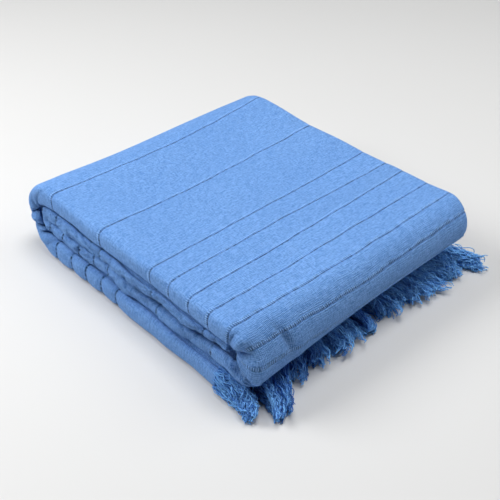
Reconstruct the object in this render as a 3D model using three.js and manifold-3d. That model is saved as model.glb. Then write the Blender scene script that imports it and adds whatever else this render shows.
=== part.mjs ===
// A fringed cotton blanket, folded in four across its width and then rolled flat in four runs.
// Millimetres, +Z up. X follows the blanket's length (its warp) and Y its width (its weft).
// The fringed end comes out at +X under a rounded fold. The rounded edge of the width folds faces -Y.

import * as THREE from "three";
import { mergeVertices } from "three/addons/utils/BufferGeometryUtils.js";
import Module from "manifold-3d";

// Cloth
const CLOTH_THICKNESS = 2.4;
const CLOTH_LENGTH = 1760;
const ROOT_X = 150;
const TOP_Z = 110;
const LAYERS = 4;

// The outer face of each flat run of the roll, from the fringed end inwards, and the fold that ends it.
// turnX is where the fold starts and bulge how far it reaches past that.
const RUNS = [
  { run: "bottom", faceZ: 0, turnX: -182, bulge: 58 },
  { run: "top", faceZ: TOP_Z, turnX: 167, bulge: 39 },
  { run: "lower middle", faceZ: 35, turnX: -189, bulge: 21 },
  { run: "upper middle", faceZ: 78.5, turnX: null, bulge: null },
];

// The four layers together from the start to the end of each run, and at the middle of each fold.
// frontY is the rounded edge at -Y, pulled in by frontSag midway, with waves of frontWave. backY is at +Y.
const STACKS = [
  { place: "bottom run", start: 27, end: 33, frontY: -192, frontSag: 1, frontWave: 0.6, backY: 190 },
  { place: "back fold", middle: 25, frontY: -189, backY: 192 },
  { place: "top run", start: 30, end: 30.5, frontY: -190, frontSag: 4, frontWave: 0.8, backY: 196 },
  { place: "fringe side fold", middle: 30, frontY: -176, backY: 192 },
  { place: "lower middle run", start: 28, end: 18.5, frontY: -184, frontSag: 1, frontWave: 2, backY: 190 },
  { place: "inner fold", middle: 19, frontY: -177, backY: 186 },
  { place: "upper middle run", start: 22, end: 13, frontY: -187, frontSag: -1, frontWave: 1.6, backY: 188 },
];
const FRONT_WAVES = 3.3;

// Edges of the width folds
const LOOPS = {
  front: { side: -1, steps: 10, squareness: 2.9 },
  inner: { side: -1, steps: 4, squareness: 2 },
  back: { side: 1, steps: 4, squareness: 2 },
};
const SELVEDGE_SHORT = { third: 9, fourth: 4 };

// Settling: the top is dished, and the overhanging front corner of the fringe side fold sags.
const DISH_ACROSS = 5;
const DISH_ALONG = 5;
const HALF_WIDTH = 196;
const HALF_LENGTH = 178;
const SAG = { drop: 20, push: 5, fromX: 158, toX: 204, fullY: -225, noneY: 90 };

// Fringe: each lock is three-sided with a flat underside, and rises from a strip parted from the cloth.
const PART_GAP = 0.3;
const STRIP_DEPTH = 6;
const LOCK_PITCH = 10.4;
const LOCK_WIDTH = 5;
const LOCK_HEIGHT = 3.4;
const LOCK_ROOT = { width: 1.8, height: 1.6, overlap: 3.5, spread: 7 };
const LOCK_TIP_SHARE = 0.8;
const LOCK_SIDES = 3;
const LOCK_STEPS = 3;
const PILE_SETTLE = 0.45;
const LOCK_SWAY = { reach: 2.4, along: 19, across: 37 };
const SPLAY = { back: 24, front: 4, power: 5 };
const LOCK_JITTER = 7;
const SCATTER = { step: 12.99, start: 4.14, size: 43758.5 };

// How far the fringe's tips reach, along the edge from front to back
const TIPS = [
  { y: -200, x: 216 },
  { y: -172, x: 231 },
  { y: -135, x: 214 },
  { y: -93, x: 201 },
  { y: -41, x: 206 },
  { y: 64, x: 201 },
  { y: 114, x: 216 },
  { y: 172, x: 224 },
  { y: 196, x: 228 },
];

// Mesh steps
const RUN_STEPS = [6, 8, 7, 6];
const FOLD_STEPS = [10, 9, 7];
const FLAT_STEPS = { hidden: 3, top: 6 };

const CLOTH_COLOUR = 0x4f86c6;
const FRINGE_COLOUR = 0x2f5fa0;
const CLOTH_ROUGHNESS = 0.92;
const FRINGE_ROUGHNESS = 0.95;

const { lerp, smoothstep } = THREE.MathUtils;

// The roll's outer face in the XZ plane, as one curve for each run and fold in turn
function rollCurves() {
  const curves = [];
  let startX = ROOT_X;
  let used = 0;
  RUNS.forEach((row, i) => {
    const last = i === RUNS.length - 1;
    const heading = i % 2 === 0 ? -1 : 1;
    const endX = last ? startX + heading * (CLOTH_LENGTH - used) : row.turnX;
    const line = new THREE.LineCurve(
      new THREE.Vector2(startX, row.faceZ),
      new THREE.Vector2(endX, row.faceZ),
    );
    curves.push(line);
    used += line.getLength();
    if (last) return;
    const nextZ = RUNS[i + 1].faceZ;
    const fold = new THREE.EllipseCurve(
      row.turnX,
      (row.faceZ + nextZ) / 2,
      row.bulge,
      Math.abs(nextZ - row.faceZ) / 2,
      heading < 0 ? 1.5 * Math.PI : 0.5 * Math.PI,
      heading < 0 ? 0.5 * Math.PI : -0.5 * Math.PI,
      true,
    );
    curves.push(fold);
    used += fold.getLength();
    startX = row.turnX;
  });
  return curves;
}

// Sizes of the stack of layers at a share of the way along a run or fold
function stackAt(index, share) {
  const here = STACKS[index];
  if (index % 2 === 0) {
    const wave = here.frontWave * Math.sin(2 * Math.PI * FRONT_WAVES * share);
    const hold = Math.sin(Math.PI * share);
    return {
      thickness: lerp(here.start, here.end, smoothstep(share, 0, 1)),
      frontY: here.frontY + (here.frontSag + wave) * hold,
      backY: here.backY,
    };
  }
  const before = STACKS[index - 1];
  const after = STACKS[index + 1];
  const turn = smoothstep(share, 0, 1);
  const middle = Math.sin(Math.PI * share) ** 2;
  return {
    thickness: lerp(lerp(before.end, after.start, turn), here.middle, middle),
    frontY: lerp(lerp(before.frontY, after.frontY, turn), here.frontY, middle),
    backY: lerp(lerp(before.backY, after.backY, turn), here.backY, middle),
  };
}

// Half loop between two layers, as points with their directions along the cloth. side is -1 at -Y.
function halfLoop({ centreY, reach, fromDepth, toDepth, side, steps, squareness }) {
  const rise = (toDepth - fromDepth) / 2;
  const power = 2 / squareness;
  const points = [];
  for (let i = 1; i < steps; i += 1) {
    const angle = (Math.PI * i) / steps;
    const sin = Math.sin(angle);
    const cos = Math.cos(angle);
    const along = new THREE.Vector2(
      side * reach * sin ** (power - 1) * cos,
      rise * Math.abs(cos) ** (power - 1) * sin,
    );
    points.push({
      y: centreY + side * reach * sin ** power,
      depth: (fromDepth + toDepth) / 2 - rise * Math.sign(cos) * Math.abs(cos) ** power,
      along: along.normalize(),
    });
  }
  return points;
}

// Flat layer from one place across the width to another
function flatLayer(fromY, toY, depth, steps) {
  const along = new THREE.Vector2(Math.sign(toY - fromY), 0);
  return Array.from({ length: steps + 1 }, (_, i) => ({ y: lerp(fromY, toY, i / steps), depth, along }));
}

// Middle line of the folded width, from selvedge to selvedge. depth is measured inwards from the roll's
// outer face. The third layer comes first, then the second, the first (the outer face) and the fourth.
function widthLine({ thickness, frontY, backY }) {
  const half = CLOTH_THICKNESS / 2;
  const pitch = (thickness - CLOTH_THICKNESS) / (LAYERS - 1);
  const [first, second, third, fourth] = Array.from({ length: LAYERS }, (_, i) => half + i * pitch);
  const frontReach = (fourth - first) / 2;
  const backReach = pitch / 2;
  const front = frontY + half + frontReach;
  const back = backY - half - backReach;
  const { hidden, top } = FLAT_STEPS;
  return [
    ...flatLayer(backY - SELVEDGE_SHORT.third, front, third, hidden),
    ...halfLoop({ ...LOOPS.inner, centreY: front, reach: backReach, fromDepth: third, toDepth: second }),
    ...flatLayer(front, back, second, hidden),
    ...halfLoop({ ...LOOPS.back, centreY: back, reach: backReach, fromDepth: second, toDepth: first }),
    ...flatLayer(back, front, first, top),
    ...halfLoop({ ...LOOPS.front, centreY: front, reach: frontReach, fromDepth: first, toDepth: fourth }),
    ...flatLayer(front, backY - SELVEDGE_SHORT.fourth, fourth, hidden),
  ];
}

// Both faces of the cloth across the width, as y and depth
function widthFaces(stack) {
  const half = CLOTH_THICKNESS / 2;
  const face = (side) => widthLine(stack).map(({ y, depth, along }) => ({
    y: y + side * half * along.y,
    depth: depth - side * half * along.x,
  }));
  return [face(-1), face(1)];
}

// The blanket's own weight: the top sinks in the middle, and the front corner of the overhang sags.
function settle(x, y, z) {
  const dish = DISH_ACROSS * (1 - (y / HALF_WIDTH) ** 2) + DISH_ALONG * (1 - (x / HALF_LENGTH) ** 2);
  const out = smoothstep(x, SAG.fromX, SAG.toX);
  const corner = 1 - smoothstep(y, SAG.fullY, SAG.noneY);
  const low = (TOP_Z - z) / (TOP_Z - RUNS[2].faceZ);
  const sag = out * corner * low;
  return new THREE.Vector3(x + SAG.push * sag, y, z * (1 - Math.max(dish, 0) / TOP_Z) - SAG.drop * sag);
}

// Closed sheet through rings of points, each ring holding the cloth's two faces across the width
function sheetGeometry(rings) {
  const across = rings[0][0].length;
  const positions = rings.flatMap((ring) => ring.flat().flatMap((p) => p.toArray()));
  const at = (ring, face, i) => (ring * 2 + face) * across + i;
  const index = [];
  const quad = (a, b, c, d) => index.push(a, c, b, a, d, c);
  const last = rings.length - 1;
  for (let r = 0; r < last; r += 1) {
    for (let i = 0; i < across - 1; i += 1) {
      quad(at(r, 0, i), at(r + 1, 0, i), at(r + 1, 0, i + 1), at(r, 0, i + 1));
      quad(at(r, 1, i), at(r, 1, i + 1), at(r + 1, 1, i + 1), at(r + 1, 1, i));
    }
    quad(at(r, 0, 0), at(r, 1, 0), at(r + 1, 1, 0), at(r + 1, 0, 0));
    quad(at(r, 0, across - 1), at(r + 1, 0, across - 1), at(r + 1, 1, across - 1), at(r, 1, across - 1));
  }
  for (let i = 0; i < across - 1; i += 1) {
    quad(at(0, 0, i), at(0, 0, i + 1), at(0, 1, i + 1), at(0, 1, i));
    quad(at(last, 0, i), at(last, 1, i), at(last, 1, i + 1), at(last, 0, i + 1));
  }
  const geometry = new THREE.BufferGeometry();
  geometry.setAttribute("position", new THREE.Float32BufferAttribute(positions, 3));
  geometry.setIndex(index);
  return geometry;
}

function clothGeometry() {
  const rings = [];
  rollCurves().forEach((curve, part) => {
    const steps = part % 2 === 0 ? RUN_STEPS[part / 2] : FOLD_STEPS[(part - 1) / 2];
    for (let i = part === 0 ? 0 : 1; i <= steps; i += 1) {
      const share = i / steps;
      const origin = curve.getPoint(share);
      const heading = curve.getTangent(share);
      rings.push(widthFaces(stackAt(part, share)).map((face) => face.map(({ y, depth }) => (
        settle(origin.x + heading.y * depth, y, origin.y - heading.x * depth)
      ))));
    }
  });
  return sheetGeometry(rings);
}

function stripGeometry() {
  const ends = [ROOT_X + PART_GAP + STRIP_DEPTH, ROOT_X + PART_GAP];
  const faces = widthFaces(stackAt(0, 0));
  return sheetGeometry(ends.map((x) => faces.map((face) => face.map((p) => settle(x, p.y, p.depth)))));
}

// Value of a table's column at a place along it, eased between rows
function tableAt(rows, place, from, column) {
  const next = rows.findIndex((row) => row[from] > place);
  if (next === 0) return rows[0][column];
  if (next < 0) return rows[rows.length - 1][column];
  const [a, b] = [rows[next - 1], rows[next]];
  return lerp(a[column], b[column], smoothstep(place, a[from], b[from]));
}

// Repeatable scatter between -1 and 1
function scatter(index) {
  const wave = Math.sin(index * SCATTER.step + SCATTER.start) * SCATTER.size;
  return 2 * (wave - Math.floor(wave)) - 1;
}

// Places for the locks at even steps along the folded width
function lockPlaces() {
  const line = widthLine(stackAt(0, 0)).map(({ y, depth }) => new THREE.Vector3(0, y, depth));
  const path = new THREE.CurvePath();
  line.slice(1).forEach((point, i) => path.add(new THREE.LineCurve3(line[i], point)));
  const count = Math.floor(path.getLength() / LOCK_PITCH);
  return Array.from({ length: count }, (_, i) => path.getPoint((i + 0.5) / count));
}

// One lock from its root in the strip out along X, sinking with the pile under it
function lockGeometry(root, index) {
  const half = CLOTH_THICKNESS / 2;
  const rootX = ROOT_X + PART_GAP + STRIP_DEPTH - LOCK_ROOT.overlap;
  const tipX = tableAt(TIPS, root.y, "y", "x") + LOCK_JITTER * scatter(index);
  const fullX = ROOT_X + PART_GAP + STRIP_DEPTH + LOCK_ROOT.spread;
  const edge = Math.abs(root.y / HALF_WIDTH) ** SPLAY.power;
  const splay = root.y > 0 ? SPLAY.back * edge : -SPLAY.front * edge;
  const positions = [];
  const section = (x, y, bottom, width, height) => {
    positions.push(x, y - width / 2, bottom, x, y + width / 2, bottom, x, y, bottom + height);
  };
  const rootZ = settle(rootX, root.y, root.z).z;
  section(rootX, root.y, rootZ - LOCK_ROOT.height / 2, LOCK_ROOT.width, LOCK_ROOT.height);
  for (let i = 0; i <= LOCK_STEPS; i += 1) {
    const share = i / LOCK_STEPS;
    const x = lerp(fullX, tipX, share);
    const sway = LOCK_SWAY.reach * share * Math.sin(x / LOCK_SWAY.along + root.y / LOCK_SWAY.across);
    const settled = lerp(1, PILE_SETTLE, smoothstep(share, 0, 1));
    const size = lerp(1, LOCK_TIP_SHARE, share ** 2);
    const bottom = Math.max(rootZ - half, 0) * settled;
    section(x, root.y + splay * share + sway, bottom, LOCK_WIDTH * size, LOCK_HEIGHT * size);
  }
  const faces = [0, 2, 1];
  const rows = LOCK_STEPS + 1;
  for (let r = 0; r < rows; r += 1) {
    for (let i = 0; i < LOCK_SIDES; i += 1) {
      const [a, b] = [r * LOCK_SIDES + i, r * LOCK_SIDES + ((i + 1) % LOCK_SIDES)];
      faces.push(a, b, b + LOCK_SIDES, a, b + LOCK_SIDES, a + LOCK_SIDES);
    }
  }
  const tip = rows * LOCK_SIDES;
  faces.push(tip, tip + 1, tip + 2);
  const geometry = new THREE.BufferGeometry();
  geometry.setAttribute("position", new THREE.Float32BufferAttribute(positions, 3));
  geometry.setIndex(faces);
  return geometry;
}

const wasm = await Module();
wasm.setup();

function toSolid(geometry) {
  geometry.deleteAttribute("normal");
  geometry.deleteAttribute("uv");
  const merged = mergeVertices(geometry);
  return new wasm.Manifold(new wasm.Mesh({
    numProp: 3,
    vertProperties: new Float32Array(merged.attributes.position.array),
    triVerts: new Uint32Array(merged.index.array),
  }));
}

function fromSolid(solid) {
  const mesh = solid.getMesh();
  const geometry = new THREE.BufferGeometry();
  geometry.setAttribute("position", new THREE.Float32BufferAttribute(mesh.vertProperties, mesh.numProp));
  geometry.setIndex(Array.from(mesh.triVerts));
  return geometry;
}

function fringeGeometry() {
  const locks = lockPlaces().map((root, i) => toSolid(lockGeometry(root, i)));
  return fromSolid(locks.reduce((solid, lock) => solid.add(lock), toSolid(stripGeometry())));
}

function piece(name, geometry, color, roughness) {
  geometry.computeVertexNormals();
  const mesh = new THREE.Mesh(geometry, new THREE.MeshStandardMaterial({ color, roughness, metalness: 0 }));
  mesh.name = name;
  return mesh;
}

const blanket = new THREE.Group();
blanket.name = "folded_fringed_blanket";
blanket.add(piece("cloth", clothGeometry(), CLOTH_COLOUR, CLOTH_ROUGHNESS));
blanket.add(piece("fringe", fringeGeometry(), FRINGE_COLOUR, FRINGE_ROUGHNESS));

// The origin is under the middle of the whole blanket.
const box = new THREE.Box3().setFromObject(blanket);
const centre = box.getCenter(new THREE.Vector3());
blanket.position.set(-centre.x, -centre.y, -box.min.z);
blanket.updateMatrixWorld(true);

export default blanket;
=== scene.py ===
"""Folded fringed blanket: cloth with woven ladder lines, a loose fringe and a plain studio floor."""

import math

import bpy
import numpy as np
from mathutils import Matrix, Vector


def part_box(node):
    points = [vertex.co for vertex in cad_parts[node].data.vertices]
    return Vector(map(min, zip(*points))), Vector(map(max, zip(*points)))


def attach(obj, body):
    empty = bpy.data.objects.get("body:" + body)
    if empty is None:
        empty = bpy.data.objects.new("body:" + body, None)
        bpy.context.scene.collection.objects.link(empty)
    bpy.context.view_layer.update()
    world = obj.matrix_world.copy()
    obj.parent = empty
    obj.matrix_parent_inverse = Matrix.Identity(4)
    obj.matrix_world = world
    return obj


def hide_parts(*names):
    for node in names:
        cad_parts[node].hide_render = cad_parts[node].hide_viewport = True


bl_info = {
    "name": "Folded Fringed Blanket",
    "version": (1, 0, 0),
    "blender": (4, 5, 0),
    "location": "3D View > Sidebar > Blanket",
    "description": "Builds a blue blanket folded in four and rolled flat, with ladder lines and a fringe",
    "category": "Object",
}

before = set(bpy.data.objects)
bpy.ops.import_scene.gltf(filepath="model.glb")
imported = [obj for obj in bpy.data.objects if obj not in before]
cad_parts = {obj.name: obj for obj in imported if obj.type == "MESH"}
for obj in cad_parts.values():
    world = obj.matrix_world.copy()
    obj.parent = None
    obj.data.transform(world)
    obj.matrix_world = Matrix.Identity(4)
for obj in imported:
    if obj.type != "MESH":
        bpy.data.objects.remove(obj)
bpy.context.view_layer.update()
BODY = "root"
MM = 0.001

# The roll, in millimetres. Each run's outer face, from the fringed end inwards, and the fold that ends it
ROOT_X = 150.0
TOP_Z = 110.0
CLOTH_LENGTH = 1760.0
RUNS = (
    {"run": "bottom", "face_z": 0.0, "turn_x": -182.0, "bulge": 58.0},
    {"run": "top", "face_z": TOP_Z, "turn_x": 167.0, "bulge": 39.0},
    {"run": "lower middle", "face_z": 35.0, "turn_x": -189.0, "bulge": 25.0, "hang": 5.0},
    {"run": "upper middle", "face_z": 78.5, "turn_x": None, "bulge": None},
)
# Shares of a run's length at which a hanging run is down, starts to rise and is up again
HANG_SHARES = {"down": 0.12, "rising": 0.5, "up": 0.95}
RUN_SAMPLES, FOLD_SAMPLES = 241, 361
# The four layers together along each run and at the middle of each fold
STACKS = (
    {"start": 28.0, "end": 33.0, "front": -191.5, "sag": 1.0, "wave": 0.6, "back": 190.0, "square": 3.2},
    {"middle": 25.0, "front": -189.0, "back": 192.0, "square": 2.6},
    {"start": 30.0, "end": 30.5, "front": -190.0, "sag": 4.0, "wave": 0.8, "back": 196.0, "square": 3.0},
    {"middle": 35.5, "front": -181.0, "back": 192.0, "square": 2.9},
    {"start": 28.5, "end": 20.5, "front": -187.0, "sag": 1.0, "wave": 1.6, "back": 190.0, "square": 2.4},
    {"middle": 20.0, "front": -185.5, "back": 186.0, "square": 2.6},
    {"start": 23.0, "end": 14.5, "front": -187.5, "sag": -1.0, "wave": 1.6, "back": 188.0, "square": 2.3},
)
FRONT_WAVES = 3.3
SELVEDGE_SHORT = {"third": 9.0, "fourth": 4.0}

# Settling under the blanket's own weight
DISH_ACROSS = 5.0
DISH_ALONG = 5.0
HALF_WIDTH = 196.0
HALF_LENGTH = 178.0
SAG = {"drop": 20.0, "push": 5.0, "from_x": 158.0, "to_x": 204.0, "full_y": -225.0, "none_y": 90.0}

# Rows along the length of each run and fold, and columns across each part of the folded width
RUN_STEP = (4.5, 6.0, 2.2, 2.2)
FOLD_STEP = (1.9, 1.8, 4.0)
COLUMNS = {"hidden": 6, "inner": 4, "back": 6, "outer": 46, "front": 38, "fourth": 9}
# The outer face's columns are close near the front edge: this many of them, in this share of its width
CLOSE_COLUMNS, CLOSE_SHARE = 24, 0.24
# Edges of the mesh that turn by more than this many degrees stay sharp
SHARP_ANGLE = 70.0
# Rows and columns that one face of the mesh spans, for the parts that show and the parts folded away
SHOWN_PARTS = {"front": range(7), "outer": (1, 2, 3), "back": range(7)}
SPANS = {"front": (1, 1), "outer": (1, 1), "back": (2, 1), "away": (4, 2)}
UNDER_SPANS = {"front": (2, 2), "outer": (2, 2), "back": (4, 2), "away": (4, 2)}

# Length on the top run at which distances across the folded width are measured
MEASURED_AT = 680.0

# Woven ladder lines: millimetres of cloth from the fringed end, and how far each line strays from that at
# the front edge, the middle and the back edge. The lines on the runs that hardly show are straight.
LINE_STRAY_AT = (0.0, 200.0, 385.0)
LINES = (
    *((length, 0.0, 0.0, 0.0) for length in (193.0, 226.0, 258.0, 290.0, 325.0)),
    (424.0, 0.0, -2.0, -6.0), (519.0, 0.0, 0.0, -13.0), (620.0, 2.0, -2.5, -8.0), (717.0, 4.0, -3.0, -3.0),
    (752.0, 4.0, -4.0, 3.0), (790.0, 4.0, -4.0, -6.0), (826.0, 3.0, -2.0, -1.0), (863.0, 1.0, 0.0, -2.0),
    (898.0, -3.0, 1.5, -4.0), (926.0, -9.0, 6.0, 6.0),
    *((length, 0.0, 0.0, 0.0) for length in (
        1011.0, 1110.0, 1208.0, 1240.0, 1270.0, 1303.0, 1338.0, 1425.0, 1523.0, 1628.0, 1722.0)),
)
# Rows of the mesh on each line, and the room that is kept clear of other rows beside them
LINE_ROWS = (-2.3, -1.1, 0.0, 1.1, 2.3)
LINE_CLEAR = 1.2
# Half widths of a line's hollow and of its pinch in the rounded edge, which is stronger on the bottom run
LINE_REACH = {"hollow": 1.2, "pinch": 6.0}
BOTTOM_PINCH = 1.8
# Lengths from the cloth's ends between which the lines begin to waver
END_MARGIN = (5.0, 60.0)
# The warp threads stand out on the lines between these two lengths
THREADED = (340.0, 985.0)

# Creases listed one by one, in millimetres: the place along the cloth from its fringed end, the place across
# it from the front edge towards the outer face (minus towards the inner side), the lean, the half width along
# the cloth, the half length across it, the height, which is below 0 for a trough, and whether it is pinched
CREASES = (
    # Pleats in the end of the back fold
    (428.0, -11.0, -0.6, 3.4, 19.0, -9.0, True),
    (391.0, -11.0, 0.43, 3.2, 18.0, -8.5, True),
    (373.0, -13.0, 1.0, 3.2, 17.0, -8.0, True),
    (337.0, -11.0, 1.5, 2.4, 11.0, -2.5, True),
    (410.0, -7.0, 0.0, 8.0, 15.0, 3.0, False),
    (383.0, -5.0, 0.7, 5.0, 11.0, 2.5, False),
    (358.0, -6.0, 1.0, 10.0, 13.0, 2.5, False),
    (463.0, -7.0, 1.9, 5.0, 17.0, -4.0, True),
    (449.0, -2.0, 1.0, 9.0, 11.0, -2.5, False),
    (440.0, -11.0, 0.6, 2.2, 13.0, -2.5, True),
    # Pinched end of the fold on the fringe side
    (886.0, 5.0, 0.0, 9.0, 13.0, 5.0, False),
    (870.5, 3.0, 0.25, 2.6, 10.0, -3.2, True),
    (904.0, -8.0, 0.0, 2.6, 13.0, -6.5, True),
    (923.0, 2.0, 0.2, 12.0, 17.0, 4.2, False),
    # Hollow that leads from it along the middle runs
    (968.0, -17.0, 0.0, 30.0, 4.0, -7.0, False),
    (1008.0, -15.5, 0.0, 20.0, 3.5, -4.0, False),
    # Lower creases of the pinched end
    (951.0, -5.0, 0.2, 2.6, 12.0, -9.0, True),
    (960.0, -5.0, 0.2, 6.0, 9.0, -4.5, False),
    (940.0, -4.0, 0.2, 4.0, 9.0, 2.5, False),
    (968.0, -3.0, -0.94, 3.0, 11.0, 3.6, False),
    (978.0, -2.0, -0.94, 4.0, 11.0, -2.4, False),
    (948.0, 3.0, 1.6, 2.4, 5.0, 3.0, False),
    (951.0, 10.0, 0.5, 4.5, 6.0, -3.6, False),
    (941.0, 13.0, 0.8, 2.6, 6.0, 2.0, False),
    # Long hollow where the upper middle run overhangs the lower one
    (1125.0, -9.5, 0.0, 38.0, 4.0, -6.0, False),
    (1055.0, -12.0, 0.0, 45.0, 4.5, -6.5, False),
    # Dent in the outer face of the fold on the fringe side
    (909.0, 57.0, 2.0, 15.0, 6.5, -4.8, False),
    (915.0, 78.0, 3.0, 25.0, 10.0, 1.2, False),
)
# How far the edges of each band tuck in beside the next band, and the place and half width of that across the
# cloth. The middle runs are tucked on both sides, and the near end of the fringe side's fold is eased.
TUCK = {
    "depth": 4.5, "place": 20.0, "reach": 3.5, "both_sides": (985.0, 1010.0),
    "bottom_place": 3.0, "bottom_fade": 60.0, "eased_at": 885.0, "eased_by": 0.85, "eased_reach": 45.0,
}
# Small crumples along the front edge of the middle runs, which set in between two lengths: height, seed, size
# along the cloth, slant, size across it and sharpness
CRUMPLED = (985.0, 1030.0)
CRUMPLES = ((-3.0, 8, 15.0, 26.0, 30.0, 0.18), (-1.8, 9, 11.0, -18.0, 24.0, 0.16))
# Depth at which a crease's painted shade is at its darkest, in millimetres, and how much of that counts in
# the small crumples
FULL_CREASE = 5.0
CRUMPLE_SHADE = 0.5
# Gentle unevenness of the faces, the front edge, its crumpled parts and the straying rows, made of waves of
# these paces
RIPPLE_PACES = (1.6, 4.2)
FACE_RIPPLE = {"height": 0.7, "seed": 3, "along": 60.0, "across": 75.0}
EDGE_RIPPLE = {"height": 0.4, "crumpled": 0.9, "seed": 5, "along": 20.0, "across": 24.0}
FINE_RIPPLE = {"height": 0.3, "seed": 12, "along": 6.0, "across": 7.0}
DRIFT_RIPPLE = {"seed": 11, "along": 90.0, "across": 22.0}
# How far the front edge's unevenness reaches, and the length up to which the cloth lies plain on the floor
EDGE_REACH = 30.0
RESTING = {"to": 300.0, "fade": 60.0}

# Fringe, in millimetres and degrees: the spacing of its locks, how far inside the cloth's end they are
# rooted, and how the pile settles, to a share of its height from a share of a lock's length on
FRINGE_SEED = 21
LOCK_PITCH = 8.4
GUIDE_POINTS = 18
ROOT_INSET = 3.0
PILE_SETTLE, SETTLED_FROM = 0.5, 0.1
# How far a lock runs straight out of the cloth, for narrow and wide tassels
LOCK_WIDTHS, LOCK_START = (30.0, 60.0), (30.0, 48.0)
# How much locks differ from each other, how they rise and dip, how much shorter a tassel's outer locks are,
# and the room that is left under the fold
LOCK_SCATTER = {"heading": 9.0, "tip": 1.6, "start": 3.0, "tone": 0.7}
LOCK_HEAVE = {"height": 2.5, "pace": (4.0, 7.0)}
ROUNDED_END = 4.0
LID_GAP = 2.0
# The lowest locks, up to this depth, end here and splay, as far as they don't join their tassel
LOW_LOCK = {"depth": 12.0, "tip_x": 199.0, "splay": 1.07}
# The locks gather into tassels: the part of the cloth's end that each comes from, its tip, the way it points
# there and its half width there, how curly it is, how fully its lowest locks join it, the length of its
# gathered end and how unevenly that ends
TASSEL_KEYS = ("roots", "tip", "heading", "half", "curl", "gather", "hold", "ragged")
TASSELS = tuple(dict(zip(TASSEL_KEYS, row)) for row in (
    ((-193.0, -168.0), (219.0, -199.0), -44.0, 4.0, 1.6, 1.0, 12.0, 20.0),
    ((-168.0, -102.0), (241.0, -181.0), -64.0, 2.0, 0.9, 0.95, 10.0, 24.0),
    ((-102.0, -88.0), (214.0, -124.0), -64.0, 14.0, 0.9, 0.6, 26.0, 8.0),
    ((-88.0, -60.0), (209.0, -88.0), -50.0, 16.0, 0.8, 0.45, 26.0, 8.0),
    ((-60.0, -34.0), (212.0, -54.0), -70.0, 14.0, 1.0, 0.45, 26.0, 8.0),
    ((-34.0, -8.0), (212.0, -26.0), -40.0, 14.0, 0.9, 0.45, 26.0, 8.0),
    ((-8.0, 20.0), (196.0, 2.0), -140.0, 13.0, 0.5, 0.45, 26.0, 8.0),
    ((20.0, 48.0), (203.0, 42.0), -60.0, 16.0, 0.8, 0.3, 26.0, 8.0),
    ((48.0, 78.0), (210.0, 78.0), -45.0, 17.0, 0.9, 0.3, 26.0, 8.0),
    ((78.0, 108.0), (224.0, 108.0), -28.0, 16.0, 1.3, 0.3, 26.0, 10.0),
    ((108.0, 128.0), (227.0, 149.0), 28.0, 6.0, 0.8, 0.6, 26.0, 10.0),
    ((128.0, 179.0), (217.0, 165.0), -25.0, 13.0, 1.3, 0.9, 20.0, 8.0),
    ((179.0, 192.0), (230.0, 215.0), 2.0, 5.0, 1.3, 1.0, 20.0, 10.0),
))
# Extra locks fill the loose tufts at the two ends: first and last y and their number, their depths and how
# far out of the cloth's end they start
TUFTS = ((-191.0, -176.0, 32), (180.0, 191.0, 18))
TUFT_DEPTHS = (2.0, 29.0)
TUFT_INSET = (-3.0, 5.0)
# How pale the yarn is from the near end to the far end, as y and tone: painted shade, darkest at the second
# tassel from the near end where the fold shades the fringe, and painted light, palest at the far end
PAINTED_LIGHT_AND_SHADE_TONES = ((-190.0, -170.0, -155.0, 60.0, 150.0), (1.0, 0.6, 0.3, 1.0, 2.4))
FRINGE_PIECES = ("fringe_inner", "fringe_middle", "fringe_outer", "fringe_tufts")
# What differs from yarn to yarn in a lock, and the shares of a lock's length at which its yarns end
YARN_RANGES = {
    "Turn": (0.0, 2 * math.pi), "Out": (0.15, 1.0), "Phase": (0.0, 40.0), "Pace": (260.0, 520.0),
    "Coil": (0.2, 1.3), "Hand": (-1.3, 1.3), "Tone": (0.0, 1.0),
}
YARN_ENDS, YARN_END_SEED = (0.78, 1.0), 9
YARN_SIDES = 3
# Smallest and largest size of a ladder thread beside its usual size
THREAD_SIZES, THREAD_SEED = (0.75, 1.15), 4
THREAD_SIDES = 4

# Camera, in millimetres and degrees
CAMERA_AT = (710.7, -655.0, 746.0)
AZIMUTH, ELEVATION = 47.3, 36.9
LENS, SENSOR = 65.16, 36.0

# Brightness of the floor's faint clouds beside the rest of it
FLOOR_DIM = 0.985

# Lamps, in metres: place and width
LAMPS = (
    ("overhead", (0.2, 0.2, 2.8), 1.4),
    ("back", (-0.9, 0.2, 1.9), 2.0),
    ("side", (0.5, 0.9, 1.8), 2.0),
    ("far", (0.7, 1.0, 1.3), 1.4),
    ("low", (-1.0, -1.0, 1.3), 1.0),
)


def smoothstep(x, low, high):
    t = np.clip((np.asarray(x, float) - low) / (high - low), 0, 1)
    return t * t * (3 - 2 * t)


def lerp(a, b, t):
    return a + (b - a) * t


def bell(x):
    return np.exp(-np.square(x))


def ripple(seed, x, y, waves=9):
    """Smooth repeatable unevenness between about -1 and 1, with features about 1 across."""
    rng = np.random.default_rng(seed)
    total = np.zeros(np.broadcast(x, y).shape)
    for _ in range(waves):
        turn, phase = rng.uniform(0, 2 * math.pi, 2)
        pace = rng.uniform(*RIPPLE_PACES)
        total += np.sin(pace * (x * math.cos(turn) + y * math.sin(turn)) + phase)
    return total / math.sqrt(waves)


def uneven(kind, along, across):
    return ripple(kind["seed"], along / kind["along"], across / kind["across"])


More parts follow.
